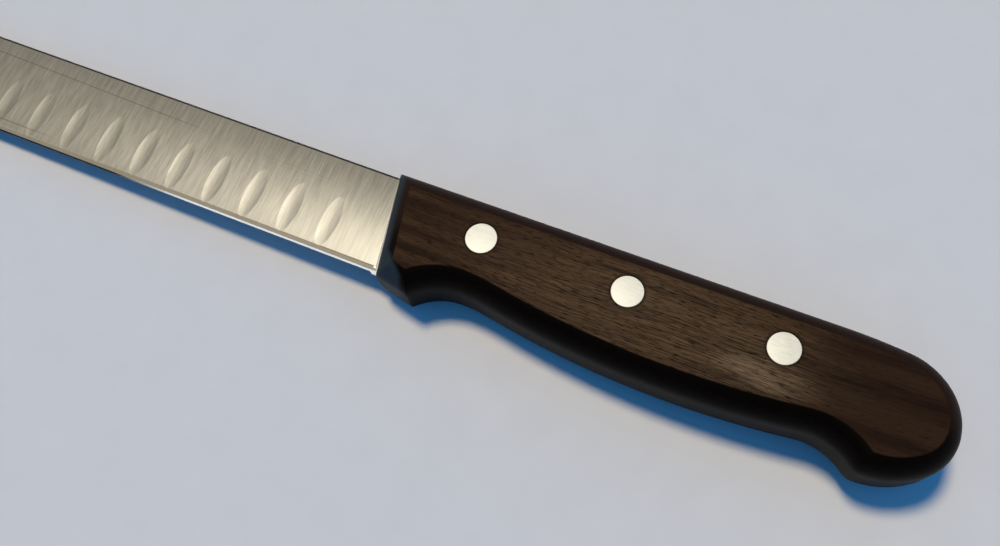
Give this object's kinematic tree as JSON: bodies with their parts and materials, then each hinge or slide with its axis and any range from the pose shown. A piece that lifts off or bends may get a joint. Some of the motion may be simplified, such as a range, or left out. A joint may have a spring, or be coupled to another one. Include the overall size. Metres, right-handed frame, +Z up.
{
  "type": "carving knife",
  "caption": "Long slicing and carving knife: narrow round-tipped blade with hollow flutes above the edge, and a hooked dark wood handle held to the tang by flush rivets.",
  "frame": {"origin": "middle of the knife's footprint at table height, with the knife lying on its side", "axes": "+X from the tip of the blade to the butt of the handle, +Y from the edge to the spine, +Z up"},
  "size_m": [0.4302, 0.0281, 0.0208],
  "materials": {
    "blade_steel": "stainless knife steel, ground across the blade to a fine satin",
    "rosewood": "dark brown rosewood, sanded and waxed, with open dark pores",
    "rivet_metal": "bright, filed flush with the wood"
  },
  "bodies": {
    "root": {"blade": "blade_steel", "handle": "rosewood", "front_rivet_post": "rivet_metal", "front_rivet_socket": "rivet_metal", "middle_rivet_post": "rivet_metal", "middle_rivet_socket": "rivet_metal", "rear_rivet_post": "rivet_metal", "rear_rivet_socket": "rivet_metal"}
  },
  "joints": []
}
